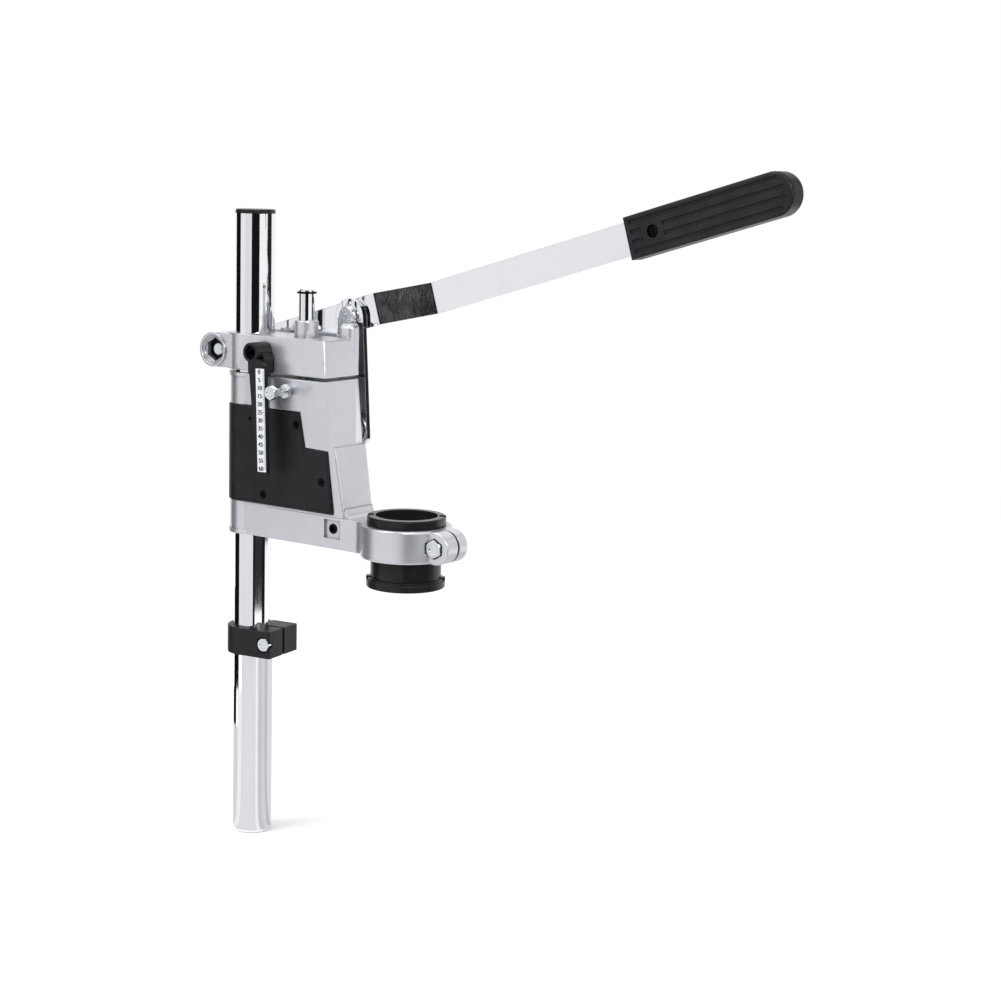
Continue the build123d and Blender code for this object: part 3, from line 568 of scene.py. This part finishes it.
class STAND_OT_beads(bpy.types.Operator):
    """Raise the cover's moulded border and the head's parting line"""
    bl_idname = "stand.beads"
    bl_label = "Moulded lines"

    def execute(self, context):
        s = context.scene.stand_beads
        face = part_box("side_cover")[0].y
        # (x, z) corners in millimetres; the border is the cover's outline, drawn in
        border = [(0.4, 220.2), (78.2, 220.2), (74.0, 256.9), (55.7, 257.5), (51.7, 279.4),
                  (26.4, 279.4), (19.0, 284.3), (13.9, 284.3), (13.9, 279.4), (0.4, 279.4)]
        self.bead("cover_border", border, face, s.cover_radius, s.cover_proud, s.corner,
                  "carriage", "black_gloss")
        parting = [(-16.5, 320.7), (-9.0, 320.4), (-5.6, 319.4), (-4.6, 315.8)]
        self.bead("arm_parting_line", parting, s.arm_face, s.arm_radius, s.arm_proud, s.corner,
                  "head", "silver_casting")
        return {"FINISHED"}

    def bead(self, name, corners, face, radius, proud, corner, body, slot_name):
        """Round bead through (x, z) corners in millimetres, half sunk in a face."""
        curve = bpy.data.curves.new(name, "CURVE")
        curve.dimensions = "3D"
        curve.bevel_depth = radius
        curve.bevel_resolution = BEAD_RESOLUTION
        curve.use_fill_caps = True
        path = self.rounded([Vector(point) * MM for point in corners], corner)
        line = curve.splines.new("POLY")
        line.points.add(len(path) - 1)
        for target, point in zip(line.points, path):
            target.co = (point.x, face + radius - proud, point.y, 1.0)
        holder = bpy.data.objects.new(name, curve)
        mesh = bpy.data.meshes.new_from_object(holder)
        mesh.name = name
        mesh.materials.clear()
        mesh.shade_smooth()
        bpy.data.objects.remove(holder)
        add_piece(name, mesh, body, slot_name)

    def rounded(self, points, corner):
        """The same path with each inner corner turned into a short curve."""
        path = [points[0]]
        for before, point, after in zip(points, points[1:], points[2:]):
            start = point + (before - point).normalized() * min(corner, (before - point).length / 2)
            end = point + (after - point).normalized() * min(corner, (after - point).length / 2)
            for k in range(CORNER_STEPS + 1):
                t = k / CORNER_STEPS
                path.append(start * (1 - t) ** 2 + point * 2 * t * (1 - t) + end * t ** 2)
        return path + [points[-1]]


class STAND_OT_scale(bpy.types.Operator):
    """Print ticks and numbers on the depth scale"""
    bl_idname = "stand.scale"
    bl_label = "Depth scale"

    def execute(self, context):
        s = context.scene.stand_scale
        dress("scale_label")
        low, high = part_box("scale_label")
        lean = s.tilt
        cos, sin, tan = math.cos(lean), math.sin(lean), math.tan(lean)
        # the strip leans, so its box is wider and taller than the strip
        box_width, box_height = high.x - low.x, high.z - low.z
        width = (box_width - box_height * tan) / (cos - sin * tan)
        tall = (box_height - width * sin) / cos
        centre = Vector(((low.x + high.x) / 2, low.y, (low.z + high.z) / 2))
        turn = Matrix.Rotation(-lean, 4, "Y")
        mesh = bmesh.new()
        for mark in range(s.travel + 1):
            numbered = mark % s.step == 0
            reach = s.tick_long if numbered else s.tick_short
            z = tall / 2 - s.margin - mark * MM
            self.bar(mesh, width / 2 - reach, width / 2, z, s.tick_width)
        # each number is three copies side by side, which makes it bold
        for mark in range(0, s.travel + 1, s.step):
            z = min(tall / 2 - s.margin - mark * MM, tall / 2 - TOP_ROOM * s.text_height)
            for k, side in enumerate((-1.0, 0.0, 1.0)):
                x = s.text_middle - width / 2 + side * s.text_bold
                self.number(mesh, str(mark), (x, -k * COPY_LIFT, z), s.text_height)
        bmesh.ops.transform(mesh, matrix=Matrix.Translation(centre) @ turn, verts=mesh.verts)
        bmesh.ops.translate(mesh, vec=(0.0, -PRINT_LIFT, 0.0), verts=mesh.verts)
        data = mesh_from("scale_print", mesh)
        add_piece("scale_print", data, "head", "black_gloss", finish("label_ink"))
        return {"FINISHED"}

    def bar(self, mesh, left, right, z, thick):
        """A flat tick."""
        low, high = z - thick / 2, z + thick / 2
        corners = [(left, low), (right, low), (right, high), (left, high)]
        mesh.faces.new([mesh.verts.new((x, 0.0, y)) for x, y in corners])

    def number(self, mesh, text, place, height):
        """Flat figures, centred on a point of the strip."""
        font = bpy.data.curves.new("figures", "FONT")
        font.body = text
        font.size = height * FONT_SIZE
        font.align_x = "CENTER"
        holder = bpy.data.objects.new("figures", font)
        figures = holder.to_mesh()
        upright = Matrix.Rotation(math.radians(90), 4, "X")
        figures.transform(Matrix.Translation(place) @ upright
                          @ Matrix.Translation((0.0, -height / 2, 0.0)))
        mesh.from_mesh(figures)
        holder.to_mesh_clear()
        bpy.data.objects.remove(holder)
        bpy.data.curves.remove(font)


class STAND_OT_studio(bpy.types.Operator):
    """Floor, soft lights and camera"""
    bl_idname = "stand.studio"
    bl_label = "Studio"

    def execute(self, context):
        s = context.scene.stand_studio
        self.floor(s)
        self.world(s)
        self.lights(s)
        self.cards(s)
        self.camera(context, s)
        return {"FINISHED"}

    def floor(self, s):
        """A pale disc that rises gently at its rim."""
        mesh = bmesh.new()
        loops = [[mesh.verts.new((0, 0, -FLOOR_DROP))]]
        for i in range(1, FLOOR_RINGS + 1):
            radius = s.floor_radius * i / FLOOR_RINGS
            rise = max(0.0, radius - FLOOR_FLAT * s.floor_radius) ** 2 * FLOOR_CURVE
            loop = []
            for k in range(FLOOR_SIDES):
                a = 2 * math.pi * k / FLOOR_SIDES
                x, y = radius * math.cos(a), radius * math.sin(a)
                loop.append(mesh.verts.new((x, y, rise - FLOOR_DROP)))
            loops.append(loop)
        for k in range(FLOOR_SIDES):
            mesh.faces.new((loops[0][0], loops[1][k - 1], loops[1][k]))
        for first, second in zip(loops[1:], loops[2:]):
            for k in range(FLOOR_SIDES):
                mesh.faces.new((first[k - 1], second[k - 1], second[k], first[k]))
        bmesh.ops.recalc_face_normals(mesh, faces=mesh.faces)
        data = mesh_from("floor", mesh)
        data.shade_smooth()
        floor = in_scene("floor", data)
        m = Nodes("pale_floor")
        m.base(m.blend(m.spread(m.noise(scale=9.0), 0.0, 1.0), shade(s.floor, 0.99), s.floor))
        m.set(Roughness=0.9, Specular_IOR_Level=0.1)
        # the floor fades into the white surroundings towards its rim
        clear = m.tree.nodes.new("ShaderNodeBsdfTransparent")
        mix = m.tree.nodes.new("ShaderNodeMixShader")
        distance = m.tree.nodes.new("ShaderNodeVectorMath")
        distance.operation = "LENGTH"
        m.link(m.place, distance.inputs[0])
        fade = m.spread(distance.outputs["Value"], 0.0, 1.0,
                        start=FADE_START * s.floor_radius, end=FADE_END * s.floor_radius)
        m.link(fade, mix.inputs[0])
        m.link(m.shader.outputs["BSDF"], mix.inputs[1])
        m.link(clear.outputs["BSDF"], mix.inputs[2])
        m.link(mix.outputs["Shader"], m.output.inputs["Surface"])
        data.materials.append(m.material)

    def world(self, s):
        """Even white surroundings."""
        world = bpy.data.worlds.new("studio")
        world.use_nodes = True
        background = world.node_tree.nodes["Background"]
        background.inputs["Color"].default_value = (1.0, 1.0, 1.0, 1.0)
        background.inputs["Strength"].default_value = s.sky
        bpy.context.scene.world = world

    def lights(self, s):
        """Two large soft lights, and two small ones for some finishes only."""
        bpy.context.scene.view_settings.view_transform = "Standard"
        middle = (0.05, 0.0, 0.25)
        self.area("key", place=(-0.9, -1.5, 2.4), target=middle, size=1.4, power=s.key)
        self.area("side", place=(2.4, -0.9, 1.2), target=middle, size=1.0, power=s.fill)
        # "edge" and "front" light only the castings, plastics and screws
        lit = bpy.data.collections.new("castings_lit")
        for name, slot_name in SLOT_OF.items():
            if slot_name in ("silver_casting", "zinc_hardware", "black_plastic", "black_gloss"):
                lit.objects.link(frame["nodes"][name])
        # (name, bearing from the camera's bearing, height, size, power)
        for name, degrees, height, size, power in (("edge", 18.0, 0.62, 0.22, s.edge),
                                                   ("front", 104.0, 0.34, 0.55, s.front)):
            bearing = s.azimuth + math.radians(degrees)
            place = (LIGHT_DISTANCE * math.sin(bearing), -LIGHT_DISTANCE * math.cos(bearing),
                     height)
            light = self.area(name, place, target=(0.05, 0.0, 0.26), size=size, power=power)
            light.light_linking.receiver_collection = lit

    def area(self, name, place, target, size, power):
        """A square soft light that points at its target."""
        data = bpy.data.lights.new(name, "AREA")
        data.shape = "RECTANGLE"
        data.size = size
        data.size_y = size
        data.energy = power
        light = in_scene(name, data)
        light.location = place
        towards = Vector(target) - Vector(place)
        light.rotation_euler = towards.to_track_quat("-Z", "Y").to_euler()
        light.visible_camera = False
        return light

    def cards(self, s):
        """Cards that only reflections see: they give the chrome its stripes."""
        # (name, first and last bearing from the camera's bearing, low, high, brightness)
        upright = [
            ("card_behind_camera", -14.0, 31.0, CARD_SPLIT, CARD_TOP, 0.008),
            ("card_right", 80.0, 116.0, CARD_SPLIT, CARD_TOP, 0.02),
            ("card_left", -132.0, -86.0, 0.0, CARD_TOP, 0.006),
            ("card_high", 31.0, 50.0, 0.42, CARD_TOP, 0.008),
            ("card_low_middle", 3.0, 15.0, 0.0, CARD_SPLIT, 0.008),
            ("card_low_soft", 15.0, 58.0, 0.0, CARD_SPLIT, 0.03),
            ("card_low_right", 58.0, 77.0, 0.0, CARD_SPLIT, 0.008),
            ("card_low_side", 77.0, 96.0, 0.05, CARD_SPLIT, 0.05),
            ("card_low_cool", -86.0, 3.0, 0.0, CARD_SPLIT, 0.84),
            ("card_haze", -86.0, -50.0, CARD_SPLIT, CARD_TOP, 0.88),
            ("card_cool", -50.0, -14.0, CARD_SPLIT, CARD_TOP, 0.80),
        ]
        for name, first, last, low, high, brightness in upright:
            self.card(name, s.azimuth, first, last, (CARD_DISTANCE, low), (CARD_DISTANCE, high),
                      brightness)
        # (name, first and last bearing, inner and outer radius, brightness)
        flat = [
            ("floor_card_far_left", -180.0, -92.0, FLOOR_CARD_INNER, 0.25, 0.74),
            ("floor_card_dark_tip", -152.0, -108.0, 0.25, 0.36, 0.006),
            ("floor_card_dark", -138.0, -86.0, 0.36, CARD_DISTANCE, 0.006),
            ("floor_card_left", -92.0, -62.0, FLOOR_CARD_INNER, 0.36, 0.95),
            ("floor_card_front", -62.0, 24.0, FLOOR_CARD_INNER, FLOOR_CARD_OUTER, 0.80),
            ("floor_card_bright", 24.0, 38.0, FLOOR_CARD_INNER, FLOOR_CARD_OUTER, 0.97),
            ("floor_card_shade", 38.0, 60.0, FLOOR_CARD_INNER, FLOOR_CARD_OUTER, 0.64),
            ("floor_card_soft", 60.0, 82.0, FLOOR_CARD_INNER, FLOOR_CARD_OUTER, 0.74),
            ("floor_card_side", 82.0, 106.0, FLOOR_CARD_INNER, FLOOR_CARD_OUTER, 0.58),
            ("floor_card_back", 106.0, 180.0, FLOOR_CARD_INNER, FLOOR_CARD_OUTER, 0.80),
            ("floor_card_cool", -86.0, 3.0, FLOOR_CARD_OUTER, CARD_DISTANCE, 0.84),
            ("floor_card_wide", 15.0, 58.0, 0.66, CARD_DISTANCE, 0.03),
            ("floor_card_stripe", 3.0, 15.0, FLOOR_CARD_OUTER, CARD_DISTANCE, 0.008),
            ("floor_card_edge", 58.0, 77.0, FLOOR_CARD_OUTER, CARD_DISTANCE, 0.008),
        ]
        for name, first, last, inner, outer, brightness in flat:
            self.card(name, s.azimuth, first, last, (inner, FLOOR_CARD_LIFT),
                      (outer, FLOOR_CARD_LIFT), brightness)

    def card(self, name, bearing, first, last, start, end, brightness):
        """A curved card about the column, swept between two (radius, height) points."""
        m = Nodes(name)
        glow = m.spread(m.noise(scale=2.2), brightness * 0.94, brightness * 1.06)
        m.set(Base_Color=(0.0, 0.0, 0.0, 1.0), Roughness=1.0, Specular_IOR_Level=0.0,
              Emission_Color=(0.985, 0.985, 1.0, 1.0))
        m.link(glow, m.shader.inputs["Emission Strength"])
        mesh = bmesh.new()
        columns = []
        for i in range(CARD_SEGMENTS + 1):
            a = bearing + math.radians(first + (last - first) * i / CARD_SEGMENTS)
            columns.append([mesh.verts.new((radius * math.sin(a), -radius * math.cos(a), z))
                            for radius, z in (start, end)])
        for first_pair, second_pair in zip(columns, columns[1:]):
            mesh.faces.new((first_pair[0], second_pair[0], second_pair[1], first_pair[1]))
        data = mesh_from(name, mesh)
        data.materials.append(m.material)
        card = in_scene(name, data)
        card.visible_camera = False
        card.visible_diffuse = False
        card.visible_shadow = False
        card.visible_transmission = False

    def camera(self, context, s):
        """A camera aimed by its bearing, pitch and roll."""
        data = bpy.data.cameras.new("camera")
        data.sensor_width = SENSOR_WIDTH
        data.lens = s.lens
        data.shift_x, data.shift_y = s.shift
        data.clip_start = NEAR_CLIP
        forward = Vector((-math.sin(s.azimuth) * math.cos(s.pitch),
                          math.cos(s.azimuth) * math.cos(s.pitch), -math.sin(s.pitch)))
        right = Vector((math.cos(s.azimuth), math.sin(s.azimuth), 0.0))
        up = right.cross(forward)
        x_axis = right * math.cos(s.roll) + up * math.sin(s.roll)
        y_axis = up * math.cos(s.roll) - right * math.sin(s.roll)
        turn = Matrix((x_axis, y_axis, -forward)).transposed()
        camera = in_scene("camera", data)
        camera.matrix_world = Matrix.Translation(s.camera_place) @ turn.to_4x4()
        context.scene.camera = camera


# ---------------------------------------------------------------- panel

STEPS = (STAND_OT_chrome, STAND_OT_castings, STAND_OT_plastics, STAND_OT_hardware, STAND_OT_spring,
         STAND_OT_beads, STAND_OT_scale, STAND_OT_studio)
SETTINGS = {
    "stand_finish": FinishSettings,
    "stand_scale": ScaleSettings,
    "stand_spring": SpringSettings,
    "stand_beads": BeadSettings,
    "stand_studio": StudioSettings,
}


class STAND_PT_panel(bpy.types.Panel):
    """Pieces and settings of the drill stand"""
    bl_idname = "STAND_PT_panel"
    bl_label = "Drill stand"
    bl_space_type = "VIEW_3D"
    bl_region_type = "UI"
    bl_category = "Drill stand"

    def draw(self, context):
        """A button for each step, then the settings."""
        for step in STEPS:
            self.layout.operator(step.bl_idname)
        for key in SETTINGS:
            box = self.layout.box()
            settings = getattr(context.scene, key)
            for name in settings.__annotations__:
                box.prop(settings, name)


CLASSES = (*SETTINGS.values(), *STEPS, STAND_PT_panel)


def register():
    """Register the add-on's classes and its scene settings."""
    for cls in CLASSES:
        bpy.utils.register_class(cls)
    for key, cls in SETTINGS.items():
        setattr(bpy.types.Scene, key, PointerProperty(type=cls))


def unregister():
    """Undo what register did."""
    for key in SETTINGS:
        delattr(bpy.types.Scene, key)
    for cls in reversed(CLASSES):
        bpy.utils.unregister_class(cls)


def main():
    register()
    for step in STEPS:
        group, name = step.bl_idname.split(".")
        getattr(getattr(bpy.ops, group), name)()


if __name__ == "__main__":
    main()
